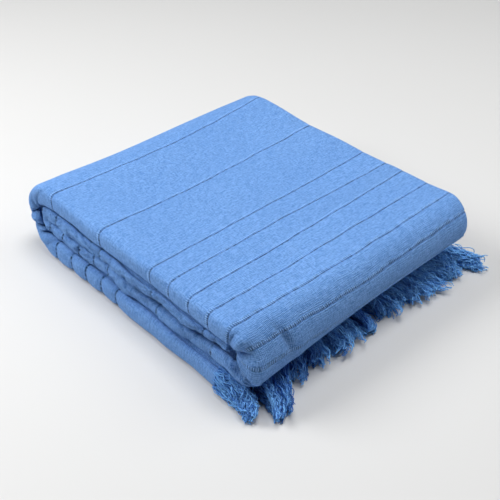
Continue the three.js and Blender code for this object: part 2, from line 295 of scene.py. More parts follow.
def stack_at(index, share):
    """Thickness of the layers, front and back edges and the front's squareness, along a run or fold."""
    here = STACKS[index]
    if index % 2 == 0:
        wave = here["wave"] * np.sin(2 * math.pi * FRONT_WAVES * share)
        front = here["front"] + (here["sag"] + wave) * np.sin(math.pi * share)
        thick = lerp(here["start"], here["end"], smoothstep(share, 0, 1))
        return thick, front, np.full_like(share, here["back"]), np.full_like(share, here["square"])
    before, after = STACKS[index - 1], STACKS[index + 1]
    turn, middle = smoothstep(share, 0, 1), np.sin(math.pi * share) ** 2

    def blend(first, last, own):
        return lerp(lerp(first, last, turn), own, middle)

    return (
        blend(before["end"], after["start"], here["middle"]),
        blend(before["front"], after["front"], here["front"]),
        blend(before["back"], after["back"], here["back"]),
        blend(before["square"], after["square"], here["square"]),
    )


def roll_table():
    """The roll's outer face: columns of length, x, z, heading x and z, thickness, front, back, squareness."""
    parts, start_x, used = [], ROOT_X, 0.0
    starts = []
    for i, run in enumerate(RUNS):
        heading = -1 if i % 2 == 0 else 1
        last = i == len(RUNS) - 1
        end_x = start_x + heading * (CLOTH_LENGTH - used) if last else run["turn_x"]
        share = np.linspace(0, 1, RUN_SAMPLES)
        risen = smoothstep(share, HANG_SHARES["rising"], HANG_SHARES["up"])
        hang = run.get("hang", 0.0) * smoothstep(share, 0, HANG_SHARES["down"]) * (1 - risen)
        x, z = lerp(start_x, end_x, share), run["face_z"] - hang
        thick, *edges = stack_at(2 * i, share)
        length = used + abs(end_x - start_x) * share
        parts.append((length, x, z, heading + 0 * x, 0 * x, thick + hang, *edges))
        starts.append(used)
        used += abs(end_x - start_x)
        if last:
            break
        angle = np.linspace(0, math.pi, FOLD_SAMPLES)
        rise = (RUNS[i + 1]["face_z"] - run["face_z"]) / 2
        x = run["turn_x"] + heading * run["bulge"] * np.sin(angle)
        z = run["face_z"] + rise * (1 - np.cos(angle))
        length = used + np.concatenate([[0], np.cumsum(np.hypot(np.diff(x), np.diff(z)))])
        hx, hz = heading * run["bulge"] * np.cos(angle), rise * np.sin(angle)
        size = np.hypot(hx, hz)
        parts.append((length, x, z, hx / size, hz / size, *stack_at(2 * i + 1, angle / math.pi)))
        starts.append(used)
        used, start_x = length[-1], run["turn_x"]
    starts.append(used)
    return np.concatenate([np.array(p) for p in parts], axis=1), starts


ROLL, STARTS = roll_table()
CLOTH_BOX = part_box("cloth")
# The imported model's origin is under its middle, so the roll moves by the same amount.
SHIFT = np.array([
    CLOTH_BOX[0][0] / MM - (RUNS[0]["turn_x"] - RUNS[0]["bulge"]),
    CLOTH_BOX[1][1] / MM - max(s["back"] for s in STACKS),
    0.0,
])


def at_length(length):
    """The roll's columns at lengths along the cloth."""
    return [np.interp(length, ROLL[0], column) for column in ROLL[1:]]


def settle(x, y, z):
    """Where a place on the plain roll comes to rest, as x and z."""
    dish = DISH_ACROSS * (1 - (y / HALF_WIDTH) ** 2) + DISH_ALONG * (1 - (x / HALF_LENGTH) ** 2)
    out = smoothstep(x, SAG["from_x"], SAG["to_x"])
    corner = 1 - smoothstep(y, SAG["full_y"], SAG["none_y"])
    low = (TOP_Z - z) / (TOP_Z - RUNS[2]["face_z"])
    sag = out * corner * low
    return x + SAG["push"] * sag, z * (1 - np.maximum(dish, 0) / TOP_Z) - SAG["drop"] * sag


def width_line(thick, front_edge, back_edge, squareness, thickness):
    """Middle line of the folded width on each row: y, depth and direction, and each column's part by name."""
    half = thickness / 2
    pitch = (thick - thickness) / 3
    first, second, third, fourth = (half + i * pitch for i in range(4))
    reach = (fourth - first) / 2
    front, back = front_edge + half + reach, back_edge - half - pitch / 2
    ys, depths, ay, ad, names = [], [], [], [], []

    def flat(name, from_y, to_y, depth, count):
        shares = np.arange(count + 1) / count
        if name == "outer":
            close = (0, count - CLOSE_COLUMNS, count)
            shares = np.interp(np.arange(count + 1), close, (0, 1 - CLOSE_SHARE, 1))
        for share in shares:
            ys.append(lerp(from_y, to_y, share))
            depths.append(depth)
            ay.append(np.sign(to_y - from_y))
            ad.append(np.zeros_like(depth))
            names.append(name)

    def loop(name, centre, out, from_depth, to_depth, side, count, square):
        rise, power = (to_depth - from_depth) / 2, 2 / square
        for i in range(1, count):
            angle = math.pi * i / count
            sin, cos = math.sin(angle), math.cos(angle)
            flank = abs(cos) + 1e-9
            dy, dd = side * out * sin ** (power - 1) * cos, rise * flank ** (power - 1) * sin
            size = np.hypot(dy, dd)
            ys.append(centre + side * out * sin**power)
            depths.append((from_depth + to_depth) / 2 - rise * np.copysign(flank**power, cos))
            ay.append(dy / size)
            ad.append(dd / size)
            names.append(name)

    c = COLUMNS
    flat("third", back_edge - SELVEDGE_SHORT["third"], front, third, c["hidden"])
    loop("inner", front, pitch / 2, third, second, -1, c["inner"], 2)
    flat("second", front, back, second, c["hidden"])
    loop("back", back, pitch / 2, second, first, 1, c["back"], 2)
    flat("outer", back, front, first, c["outer"])
    loop("front", front, reach, first, fourth, -1, c["front"], squareness)
    flat("fourth", front, back_edge - SELVEDGE_SHORT["fourth"], fourth, c["fourth"])
    return (np.stack(np.broadcast_arrays(*a), axis=1) for a in (ys, depths, ay, ad)), names


def row_lengths():
    """Lengths along the cloth of the mesh's rows: even on each run and fold, and close at every line."""
    lengths = []
    for i, (low, high) in enumerate(zip(STARTS[:-1], STARTS[1:])):
        step = RUN_STEP[i // 2] if i % 2 == 0 else FOLD_STEP[i // 2]
        lengths.extend(np.linspace(low, high, round((high - low) / step) + 1)[:-1])
    lengths.append(CLOTH_LENGTH)
    clear, ends = LINE_ROWS[-1] + LINE_CLEAR, (0.0, CLOTH_LENGTH)
    kept = [u for u in lengths if u in ends or min(abs(u - line[0]) for line in LINES) > clear]
    return np.array(sorted(kept + [line[0] + row for line in LINES for row in LINE_ROWS]))


def line_distance(lengths):
    gaps = lengths[:, None] - np.array(LINES)[None, :, 0]
    nearest = np.abs(gaps).argmin(axis=1)
    return gaps[np.arange(len(lengths)), nearest]


class Weave:
    """The folded sheet's grid of points, shared by the cloth and its ladder threads."""

    def __init__(self, settings):
        thickness = settings.thickness / MM
        self.lengths = row_lengths()
        self.gap = line_distance(self.lengths)
        stack = at_length(self.lengths)[4:]
        (self.y, self.depth, self.ay, self.ad), self.names = width_line(*stack, thickness)
        self.names = np.array(self.names)
        middle = np.searchsorted(self.lengths, MEASURED_AT)
        steps = np.hypot(np.diff(self.y[middle]), np.diff(self.depth[middle]))
        run = np.concatenate([[0], np.cumsum(steps)])
        apex = np.flatnonzero(self.names == "front")[COLUMNS["front"] // 2 - 1]
        self.across = run[apex] - run
        self.half = thickness / 2
        self.lift, self.hollow = self.creases(settings)
        self.slip = self.wander(settings)

    def creases(self, settings):
        """How far the cloth stands out of its plain folds, in mm, and how deep its creases are, 0 to 1, for
        the painted crease shade.
        """
        u, w = self.lengths[:, None], self.across[None, :]
        edge = bell(w / EDGE_REACH)
        outside = np.isin(self.names, ("outer", "front", "back"))[None, :] * 1.0
        resting = bell(np.maximum(u - RESTING["to"], 0) / RESTING["fade"]) * (self.names == "outer")[None, :]
        raised = 1 - resting
        crumpled = edge * smoothstep(u, *CRUMPLED)
        crumples = sum(
            height * crumpled * np.exp(-np.abs(ripple(seed, u / along + w / slant, w / across)) / sharpness)
            for height, seed, along, slant, across, sharpness in CRUMPLES)
        tucked = np.maximum(smoothstep(u, *TUCK["both_sides"]), (w < 0) * 1.0)
        tucked = tucked * np.isin(self.names, ("front", "outer"))
        tucked = tucked * (1 - TUCK["eased_by"] * bell((u - TUCK["eased_at"]) / TUCK["eased_reach"]))
        bottom = 1 - smoothstep(u, STARTS[1], STARTS[1] + TUCK["bottom_fade"])
        aside = np.abs(w) - TUCK["place"] - TUCK["bottom_place"] * bottom
        folds = -TUCK["depth"] * bell(aside / TUCK["reach"]) * tucked
        for along, across, lean, wide, long, height, pinched in CREASES:
            aside = (u - along - lean * (w - across)) / wide
            shape = (np.exp(-np.abs(aside)) if pinched else bell(aside)) * bell((w - across) / long)
            folds += height * settings.crease_share * shape
        pinch = settings.line_pinch / MM * np.where(u < STARTS[1], BOTTOM_PINCH, 1.0)
        lift = folds + crumples - edge * pinch * bell(self.gap / LINE_REACH["pinch"])[:, None]
        lift += FACE_RIPPLE["height"] * uneven(FACE_RIPPLE, u, w) * raised * outside
        ruffled = EDGE_RIPPLE["height"] * edge + EDGE_RIPPLE["crumpled"] * crumpled
        lift += ruffled * uneven(EDGE_RIPPLE, u, w)
        lift += FINE_RIPPLE["height"] * crumpled * uneven(FINE_RIPPLE, u, w)
        lift -= settings.line_depth / MM * bell(self.gap / LINE_REACH["hollow"])[:, None] * outside * raised
        return lift, np.clip(-(folds + CRUMPLE_SHADE * crumples) / FULL_CREASE, 0, 1)

    def wander(self, settings):
        """How far the cloth's rows stray along the length, in millimetres."""
        table = np.array(LINES)
        places = np.concatenate([[0.0], table[:, 0], [CLOTH_LENGTH]])
        stray = np.array([np.interp(self.across, LINE_STRAY_AT, line[1:]) for line in table])
        stray = np.pad(stray, ((1, 1), (0, 0)))
        even = np.stack([np.interp(self.lengths, places, column) for column in stray.T], axis=1)
        u, w = self.lengths[:, None], self.across[None, :]
        wobble = settings.line_drift / MM * uneven(DRIFT_RIPPLE, u, w)
        low, high = END_MARGIN
        inside = smoothstep(u, low, high) * (1 - smoothstep(u, CLOTH_LENGTH - high, CLOTH_LENGTH - low))
        return even + wobble * inside

    def patches(self, spans):
        """Faces of one side as rings of (row, column), larger where folded away, and the places in use."""
        rows, columns = len(self.lengths), len(self.names)
        used = np.zeros((rows, columns), bool)
        breaks = [int(i) for i in np.searchsorted(self.lengths, STARTS)] + [rows - 1]
        breaks = sorted(set(breaks))
        edges = [0] + [i for i in range(1, columns) if self.names[i] != self.names[i - 1]] + [columns - 1]
        cells = []
        for part, (low, high) in enumerate(zip(breaks[:-1], breaks[1:])):
            for left, right in zip(edges[:-1], edges[1:]):
                name = self.names[left]
                shown = part in SHOWN_PARTS.get(name, ())
                tall, wide = spans[name if shown else "away"]
                tops = [*range(low, high, tall), high]
                sides = [*range(left, right, wide), right]
                cells += [(r, s, c, d) for r, s in zip(tops[:-1], tops[1:])
                          for c, d in zip(sides[:-1], sides[1:])]
        for r, s, c, d in cells:
            used[r, c] = used[r, d] = used[s, c] = used[s, d] = True
        rings = []
        for r, s, c, d in cells:
            ring = [(r, i) for i in range(c, d)] + [(i, d) for i in range(r, s)]
            ring += [(s, i) for i in range(d, c, -1)] + [(i, c) for i in range(s, r, -1)]
            rings.append([spot for spot in ring if used[spot]])
        return rings, used

    def rims(self):
        """Places along the sheet's four edges, in the order of its faces."""
        last_row, last_column = len(self.lengths) - 1, len(self.names) - 1
        first = [(0, i) for i in range(last_column + 1)]
        last = [(last_row, i) for i in range(last_column, -1, -1)]
        left = [(i, 0) for i in range(last_row, -1, -1)]
        right = [(i, last_column) for i in range(last_row + 1)]
        return first, right, last, left

    def points(self, side):
        """One face of the cloth in metres: side is -1 for the outer face and 1 for the inner one."""
        places = self.lengths[:, None] + self.slip
        x, z, hx, hz = (np.stack([np.interp(row, ROLL[0], column) for row in places]) for column in ROLL[1:5])
        out = self.lift - side * self.half
        y = self.y - out * self.ad
        depth = self.depth + out * self.ay
        px, pz = settle(x + hz * depth, y, z - hx * depth)
        return (np.stack([px, y, np.maximum(pz, 0.0)], axis=-1) + SHIFT) * MM


def mesh_object(name, vertices, faces, smooth=True):
    mesh = bpy.data.meshes.new(name)
    mesh.from_pydata(vertices, [], faces)
    mesh.validate()
    if smooth:
        mesh.shade_smooth()
    piece = bpy.data.objects.new(name, mesh)
    bpy.context.scene.collection.objects.link(piece)
    return piece


def new_material(name):
    material = bpy.data.materials.new(name)
    material.use_nodes = True
    tree = material.node_tree
    return material, tree, tree.nodes["Principled BSDF"]


def add(tree, kind, links=None, **settings):
    """A node with its settings, and its inputs given as sockets or values by name or number."""
    node = tree.nodes.new(kind)
    for key, value in settings.items():
        setattr(node, key, value)
    for key, value in (links or {}).items():
        if isinstance(value, bpy.types.NodeSocket):
            tree.links.new(value, node.inputs[key])
        else:
            node.inputs[key].default_value = value
    return node


def maths(tree, operation, a, b=0.0, c=0.0):
    return add(tree, "ShaderNodeMath", {0: a, 1: b, 2: c}, operation=operation).outputs[0]


def mix_colour(tree, share, a, b):
    node = add(tree, "ShaderNodeMix", data_type="RGBA")
    for socket, value in zip((node.inputs[0], node.inputs[6], node.inputs[7]), (share, a, b)):
        if isinstance(value, bpy.types.NodeSocket):
            tree.links.new(value, socket)
        else:
            socket.default_value = value
    return node.outputs[2]


def noise(tree, vector, scale, detail=2.0, roughness=0.5):
    inputs = {"Vector": vector, "Scale": scale, "Detail": detail, "Roughness": roughness}
    return add(tree, "ShaderNodeTexNoise", inputs).outputs["Fac"]


def scaled(tree, vector, factors):
    return add(tree, "ShaderNodeVectorMath", {0: vector, 1: factors}, operation="MULTIPLY").outputs[0]


def ramp(tree, value, low, high, to_low=0.0, to_high=1.0):
    return add(tree, "ShaderNodeMapRange", {0: value, 1: low, 2: high, 3: to_low, 4: to_high},
               interpolation_type="SMOOTHSTEP").outputs[0]


def woven_blue(settings):
    """Plain-woven cotton: uneven weft ribs, flecks of paler and darker yarn, dark open ladder lines, and
    painted shade in the creases.
    """
    material, tree, shader = new_material("woven blue cotton")
    colours = (settings.dark_yarn, settings.pale_yarn, settings.line_colour)
    dark, pale, line = ((*colour, 1) for colour in colours)
    uv = add(tree, "ShaderNodeUVMap", uv_map="Cloth").outputs[0]
    parts = add(tree, "ShaderNodeSeparateXYZ", {0: uv})
    across, along = parts.outputs[0], parts.outputs[1]

    def times(a, b):
        return maths(tree, "MULTIPLY", a, b)

    def mark(name):
        return add(tree, "ShaderNodeAttribute", attribute_name=name).outputs["Fac"]

    def streaks(across_scale, along_scale, *fineness):
        return noise(tree, scaled(tree, uv, (across_scale, along_scale, 0.0)), 1.0, *fineness)

    def between(value, none, full, fades, gone):
        return times(ramp(tree, value, none, full), ramp(tree, value, fades, gone, 1.0, 0.0))

    # Weave and uneven yarn
    turn = 2 * math.pi
    wavering = times(streaks(60.0, 14.0), 5.0)
    weft = maths(tree, "SINE", maths(tree, "ADD", times(along, turn / settings.rib_pitch), wavering))
    warp = maths(tree, "SINE", times(across, turn / settings.yarn_pitch))
    slub = streaks(90.0, 640.0, 3.0, 0.65)
    fleck = streaks(700.0, 110.0, 3.0, 0.65)
    grain = noise(tree, uv, 420.0, 2.0, 0.6)
    cloud = noise(tree, uv, 9.0, 2.0)
    weave = maths(tree, "MULTIPLY_ADD", weft, 0.6, times(warp, 0.4))
    shade = maths(tree, "MULTIPLY_ADD", slub, 0.4, times(fleck, 0.3))
    shade = maths(tree, "MULTIPLY_ADD", grain, 0.3, maths(tree, "MULTIPLY_ADD", weave, 0.04, shade))
    colour = mix_colour(tree, ramp(tree, shade, 0.42, 0.58), dark, pale)
    colour = mix_colour(tree, ramp(tree, cloud, 0.35, 0.65, 0.0, 0.14), colour, dark)
    # Painted shade: the creases and the tucks between the bands darken towards the line colour by their depth
    colour = mix_colour(tree, times(mark("hollow"), settings.painted_crease_shade), colour, line)
    # Open lines: a dark core and paler rungs to one side, heaviest at the rounded edge, and clearest as
    # ladders on the fold of the fringe side
    gap, side = mark("line_gap"), mark("line_side")
    heavy = ramp(tree, maths(tree, "ABSOLUTE", across), 0.025, 0.07, 0.6, 1.0)
    beside = times(times(gap, side), heavy)
    laddered = between(along, 0.8, 0.87, 0.96, 0.985)
    core = times(between(beside, -0.9, 0.0, 0.7, 1.5), maths(tree, "MULTIPLY_ADD", laddered, -0.3, 1.0))
    rungs = times(between(beside, -3.6, -3.0, -0.6, 0.0), maths(tree, "MULTIPLY_ADD", laddered, 0.4, 0.15))
    open_line = times(maths(tree, "ADD", core, rungs), ramp(tree, gap, 3.8, 4.8, 1.0, 0.0))
    patchy = ramp(tree, streaks(330.0, 25.0), 0.38, 0.62, 0.25, 1.0)
    colour = mix_colour(tree, times(open_line, patchy), colour, line)
    tree.links.new(colour, shader.inputs["Base Color"])
    height = maths(tree, "MULTIPLY_ADD", shade, 10.0, times(weave, 0.6))
    bump = add(tree, "ShaderNodeBump", {"Strength": 0.8, "Distance": 0.0006, "Height": height})
    tree.links.new(bump.outputs[0], shader.inputs["Normal"])
    tree.links.new(ramp(tree, fleck, 0.2, 0.8, 0.82, 0.96), shader.inputs["Roughness"])
    shader.inputs["Specular IOR Level"].default_value = 0.1
    shader.inputs["Sheen Weight"].default_value = 0.12
    shader.inputs["Sheen Roughness"].default_value = 0.5
    shader.inputs["Sheen Tint"].default_value = (0.75, 0.87, 1.0, 1.0)
    return material


def loose_yarn(name, dark, pale, tone=None):
    """Soft twisted cotton yarn, paler where its fibres stand out, each yarn with its own tone; on the fringe
    that tone also carries painted light and shade.
    """
    material, tree, shader = new_material(name)
    place = add(tree, "ShaderNodeTexCoord").outputs["Object"]
    fine = noise(tree, place, 900.0, 2.0, 0.6)
    if tone:
        own = add(tree, "ShaderNodeAttribute", attribute_name=tone).outputs["Fac"]
    else:
        own = noise(tree, place, 70.0, 2.0)
    share = maths(tree, "MULTIPLY_ADD", own, 0.6, maths(tree, "MULTIPLY", fine, 0.4))
    colour = mix_colour(tree, ramp(tree, share, 0.25, 0.75), (*dark, 1), (*pale, 1))
    tree.links.new(colour, shader.inputs["Base Color"])
    bump = add(tree, "ShaderNodeBump", {"Strength": 0.5, "Distance": 0.0003, "Height": fine})
    tree.links.new(bump.outputs[0], shader.inputs["Normal"])
    tree.links.new(ramp(tree, fine, 0.2, 0.8, 0.85, 0.98), shader.inputs["Roughness"])
    shader.inputs["Specular IOR Level"].default_value = 0.1
    shader.inputs["Sheen Weight"].default_value = 0.1
    return material


def guide_object(name, lines, attributes):
    """Open lines of points as one mesh of edges, with point attributes by name as (type, list of arrays)."""
    mesh = bpy.data.meshes.new(name)
    ends = np.cumsum([len(line) for line in lines])
    number = np.arange(ends[-1] - 1)
    number = number[~np.isin(number + 1, ends)]
    mesh.from_pydata(np.concatenate(lines).tolist(), np.stack([number, number + 1], axis=1).tolist(), [])
    for key, (kind, values) in attributes.items():
        made = mesh.attributes.new(key, kind, "POINT")
        made.data.foreach_set("vector" if kind == "FLOAT_VECTOR" else "value", np.concatenate(values).ravel())
    piece = bpy.data.objects.new(name, mesh)
    bpy.context.scene.collection.objects.link(piece)
    return piece


class GuideTree:
    """A geometry node tree that makes threads or yarns along guide lines, with named inputs."""

    def __init__(self, name):
        self.tree = bpy.data.node_groups.new(name, "GeometryNodeTree")
        self.tree.is_modifier = True
        self.tree.interface.new_socket("Geometry", in_out="INPUT", socket_type="NodeSocketGeometry")
        self.tree.interface.new_socket("Geometry", in_out="OUTPUT", socket_type="NodeSocketGeometry")
        self.start = self.tree.nodes.new("NodeGroupInput")
        self.end = self.tree.nodes.new("NodeGroupOutput")
        self.guides = self.add("GeometryNodeMeshToCurve", {0: self.start.outputs[0]}).outputs[0]
        self.values = {}

    def input(self, settings, key):
        """An input that carries one of the settings, under the setting's own name."""
        value, name = getattr(settings, key), settings.bl_rna.properties[key].name
        kind = "NodeSocketInt" if isinstance(value, int) else "NodeSocketFloat"
        socket = self.tree.interface.new_socket(name, in_out="INPUT", socket_type=kind)
        self.values[socket.identifier] = value
        return self.start.outputs[name]

    def add(self, kind, links=None, **settings):
        return add(self.tree, kind, links, **settings)

    def maths(self, *values):
        return maths(self.tree, *values)

    def times(self, a, b):
        return self.maths("MULTIPLY", a, b)

    def vector(self, x, y, z):
        return self.add("ShaderNodeCombineXYZ", {0: x, 1: y, 2: z}).outputs[0]

    def vectors(self, operation, a, b=(0.0, 0.0, 0.0)):
        return self.add("ShaderNodeVectorMath", {0: a, 1: b}, operation=operation).outputs[0]

    def stretch(self, vector, size):
        return self.add("ShaderNodeVectorMath", {0: vector, "Scale": size}, operation="SCALE").outputs[0]

    def spin(self, guide, name):
        """Applies the tree to a guide object and gives the result as a plain mesh object."""
        modifier = guide.modifiers.new("spin", "NODES")
        modifier.node_group = self.tree
        for key, value in self.values.items():
            modifier[key] = value
        graph = bpy.context.evaluated_depsgraph_get()
        mesh = bpy.data.meshes.new_from_object(guide.evaluated_get(graph))
        mesh.name = name
        bpy.data.objects.remove(guide)
        piece = bpy.data.objects.new(name, mesh)
        bpy.context.scene.collection.objects.link(piece)
        if not mesh.polygons:
            raise RuntimeError(f"{name}: nothing was made")
        mesh.shade_smooth()
        return piece


class BlanketClothSettings(bpy.types.PropertyGroup):
    """Sizes and colours of the woven cloth."""

    thickness: bpy.props.FloatProperty(
        name="Thickness", description="Thickness of one layer of cloth", default=0.0024, unit="LENGTH")
    crease_share: bpy.props.FloatProperty(
        name="Creases", description="Strength of the creases placed by hand", default=1.0, subtype="FACTOR")
    # Painted shade: how much the deepest creases are darkened towards the line colour
    painted_crease_shade: bpy.props.FloatProperty(
        name="Crease Shade", description="How much darker the deepest creases are",
        default=0.5, subtype="FACTOR")
    line_depth: bpy.props.FloatProperty(
        name="Line Depth", description="How far a ladder line sinks into the cloth",
        default=0.0007, unit="LENGTH")
    line_pinch: bpy.props.FloatProperty(
        name="Line Pinch", description="How far a line draws in the rounded edge",
        default=0.0011, unit="LENGTH")
    line_drift: bpy.props.FloatProperty(
        name="Line Drift", description="How far the lines waver", default=0.0005, unit="LENGTH")
    rib_pitch: bpy.props.FloatProperty(
        name="Rib Pitch", description="Spacing of the weft ribs", default=0.0023, unit="LENGTH")
    yarn_pitch: bpy.props.FloatProperty(
        name="Yarn Pitch", description="Spacing of the warp yarns", default=0.0019, unit="LENGTH")
    pale_yarn: bpy.props.FloatVectorProperty(
        name="Pale Yarn", description="Colour of the paler yarn", default=(0.25, 0.49, 0.95), subtype="COLOR")
    dark_yarn: bpy.props.FloatVectorProperty(
        name="Dark Yarn", description="Colour of the darker yarn",
        default=(0.115, 0.29, 0.7), subtype="COLOR")
    # The line colour is also the colour that the painted crease shade darkens towards
    line_colour: bpy.props.FloatVectorProperty(
        name="Line Colour", description="Colour in the open ladder lines",
        default=(0.02, 0.065, 0.19), subtype="COLOR")


class BlanketLadderSettings(bpy.types.PropertyGroup):
    """Sizes of the warp threads that cross the open lines."""

    pitch: bpy.props.FloatProperty(
        name="Pitch", description="Spacing of the threads along a line", default=0.0028, unit="LENGTH")
    length: bpy.props.FloatProperty(
        name="Length", description="Length of a thread across the line", default=0.0038, unit="LENGTH")
    offset: bpy.props.FloatProperty(
        name="Offset", description="How far the threads lie to one side", default=0.0014, unit="LENGTH")
    colour: bpy.props.FloatVectorProperty(
        name="Colour", description="Colour of the threads", default=(0.34, 0.58, 0.95), subtype="COLOR")
    radius: bpy.props.FloatProperty(
        name="Radius", description="Radius of a thread", default=0.00058, precision=5, unit="LENGTH")


class BlanketFringeSettings(bpy.types.PropertyGroup):
    """Sizes and colours of the fringe."""

    yarns: bpy.props.IntProperty(
        name="Yarns", description="Yarns in each lock", default=12)
    points: bpy.props.IntProperty(
        name="Points", description="Points along each yarn", default=32)
    yarn_radius: bpy.props.FloatProperty(
        name="Yarn Radius", description="Radius of one yarn", default=0.0006, precision=5, unit="LENGTH")
    spread: bpy.props.FloatProperty(
        name="Spread", description="How far a lock opens at its tip", default=0.0062, unit="LENGTH")
    kink: bpy.props.FloatProperty(
        name="Kink", description="How far a yarn strays from its lock", default=0.002, unit="LENGTH")
    curl: bpy.props.FloatProperty(
        name="Curl", description="Radius of a yarn's curls", default=0.0014, unit="LENGTH")
    tip_curl: bpy.props.FloatProperty(
        name="Tip Curl", description="How much wider the curls are at the tip", default=1.5)
    dark: bpy.props.FloatVectorProperty(
        name="Dark", description="Colour of the yarn", default=(0.018, 0.11, 0.47), subtype="COLOR")
    pale: bpy.props.FloatVectorProperty(
        name="Pale", description="Colour of its standing fibres", default=(0.22, 0.54, 1.0), subtype="COLOR")


class BlanketStageSettings(bpy.types.PropertyGroup):
    """The floor and the light."""

    floor: bpy.props.FloatVectorProperty(
        name="Floor", description="Colour of the floor", default=(0.7, 0.7, 0.695), subtype="COLOR")
    floor_size: bpy.props.FloatProperty(
        name="Floor Size", description="Width of the floor", default=9.0, unit="LENGTH")
    overhead: bpy.props.FloatProperty(
        name="Overhead", description="Power of the large lamp overhead", default=44.0, unit="POWER")
    back: bpy.props.FloatProperty(
        name="Back", description="Power of the lamp over the back fold", default=5.0, unit="POWER")
    side: bpy.props.FloatProperty(
        name="Side", description="Power of the lamp over the fringe", default=3.0, unit="POWER")
    far: bpy.props.FloatProperty(
        name="Far", description="Power of the lamp beyond the far corner", default=6.5, unit="POWER")
    low: bpy.props.FloatProperty(
        name="Low", description="Power of the low lamp in front", default=26.0, unit="POWER")
    sky: bpy.props.FloatProperty(name="Sky", description="Strength of the light all round", default=0.03)


def dress(piece, material):
    piece.data.materials.clear()
    piece.data.materials.append(material)


class BLANKET_OT_fold_cloth(bpy.types.Operator):
    """Fold and roll the cloth"""

    bl_idname = "blanket.fold_cloth"
    bl_label = "Fold Cloth"

    def execute(self, context):
        settings = context.scene.blanket_cloth
        weave = Weave(settings)
        top, top_used = weave.patches(SPANS)
        under, under_used = weave.patches(UNDER_SPANS)
        places = np.concatenate([np.argwhere(top_used), np.argwhere(under_used)])
        vertices = np.concatenate([weave.points(-1)[top_used], weave.points(1)[under_used]])
        number = np.cumsum(top_used).reshape(top_used.shape) - 1
        under_number = np.cumsum(under_used).reshape(top_used.shape) - 1 + top_used.sum()
        faces = [[number[spot] for spot in patch] for patch in top]
        faces += [[under_number[spot] for spot in reversed(patch)] for patch in under]
        for rim in weave.rims():
            both = [i for i, spot in enumerate(rim) if top_used[spot] and under_used[spot]]
            for start, stop in zip(both[:-1], both[1:]):
                edge = rim[start:stop + 1]
                faces.append([number[spot] for spot in reversed(edge) if top_used[spot]]
                             + [under_number[spot] for spot in edge if under_used[spot]])
        piece = mesh_object("folded_cloth", vertices.tolist(), faces)
        mesh = piece.data
        corner = np.empty(len(mesh.loops), dtype=np.int32)
        mesh.loops.foreach_get("vertex_index", corner)
        row, column = places[corner].T
        uv = np.stack([weave.across[column], weave.lengths[row]], axis=1) * MM
        mesh.uv_layers.new(name="Cloth").data.foreach_set("uv", uv.ravel())
        row, column = places.T
        # Marks for the open lines, and each point's crease depth, which the material paints as shade
        marks = {"line_gap": np.abs(weave.gap)[row], "line_side": np.sign(weave.gap)[row],
                 "hollow": weave.hollow[row, column]}
        for name, values in marks.items():
            made = mesh.attributes.new(name, "FLOAT", "POINT")
            made.data.foreach_set("value", values.astype(np.float32))
        mesh.set_sharp_from_angle(angle=math.radians(SHARP_ANGLE))
        dress(piece, woven_blue(settings))
        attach(piece, BODY)
        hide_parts("cloth")
        return {"FINISHED"}


class BLANKET_OT_thread_ladders(bpy.types.Operator):
    """Lay the warp threads across the open lines"""

    bl_idname = "blanket.thread_ladders"
    bl_label = "Thread Ladders"

    def execute(self, context):
        cloth, settings = context.scene.blanket_cloth, context.scene.blanket_ladder
        weave = Weave(cloth)
        outer = weave.points(-1)
        shown = np.flatnonzero(np.isin(weave.names, ("outer", "front")))
        lines, ways, beside = [], [], len(LINE_ROWS) // 2
        threaded = (weave.lengths > THREADED[0]) & (weave.lengths < THREADED[1])
        for row in np.flatnonzero((weave.gap == 0) & threaded):
            before, after = outer[row - beside, shown], outer[row + beside, shown]
            way = after - before
            way /= np.linalg.norm(way, axis=1, keepdims=True)
            lines.append((before + after) / 2 - way * settings.offset)
            ways.append(way)
        guide = guide_object("ladder_guides", lines, {"way": ("FLOAT_VECTOR", ways)})
        g = GuideTree("ladder threads")
        pitch, length, radius = (g.input(settings, key) for key in ("pitch", "length", "radius"))
        spaced = g.add("GeometryNodeCurveToPoints", {0: g.guides, "Length": pitch}, mode="LENGTH")
        way = g.add("GeometryNodeInputNamedAttribute", {"Name": "way"}, data_type="FLOAT_VECTOR").outputs[0]
        turn = g.add("FunctionNodeAlignRotationToVector", {"Vector": way}, axis="Z").outputs[0]
        shape = {"Vertices": THREAD_SIDES, "Radius": radius, "Depth": length}
        thread = g.add("GeometryNodeMeshCylinder", shape, fill_type="NGON")
        chance = {2: THREAD_SIZES[0], 3: THREAD_SIZES[1], "Seed": THREAD_SEED}
        size = g.add("FunctionNodeRandomValue", chance, data_type="FLOAT").outputs[1]
        placed = g.add("GeometryNodeInstanceOnPoints", {
            0: spaced.outputs[0], "Instance": thread.outputs[0], "Rotation": turn, "Scale": size})
        real = g.add("GeometryNodeRealizeInstances", {0: placed.outputs[0]})
        material = loose_yarn("ladder thread", cloth.pale_yarn, settings.colour)
        done = g.add("GeometryNodeSetMaterial", {0: real.outputs[0], "Material": material})
        g.tree.links.new(done.outputs[0], g.end.inputs[0])
        piece = g.spin(guide, "ladder_threads")
        dress(piece, material)
        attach(piece, BODY)
        return {"FINISHED"}


def lock_roots(thickness):
    """Places of the fringe's locks on the cloth's end, as y and depth at even steps along the width."""
    columns = at_length(np.array([0.0]))
    (y, depth, _, _), _ = width_line(*columns[4:], thickness)
    y, depth = y[0], depth[0]
    run = np.concatenate([[0], np.cumsum(np.hypot(np.diff(y), np.diff(depth)))])
    count = int(run[-1] // LOCK_PITCH)
    places = (np.arange(count) + 0.5) / count * run[-1]
    return np.interp(places, run, y), np.interp(places, run, depth)


def fold_underside(x, y):
    """Height of the overhanging fold above a place on the floor, or a metre where nothing overhangs."""
    fold, low = RUNS[1], RUNS[2]["face_z"]
    middle, rise = (fold["face_z"] + low) / 2, (fold["face_z"] - low) / 2
    out = np.clip((x - fold["turn_x"]) / fold["bulge"], 0, 1)
    _, under = settle(x, y, middle - rise * np.sqrt(1 - out**2))
    return np.where((out < 1) & (x > ROOT_X), under, 1.0 / MM)


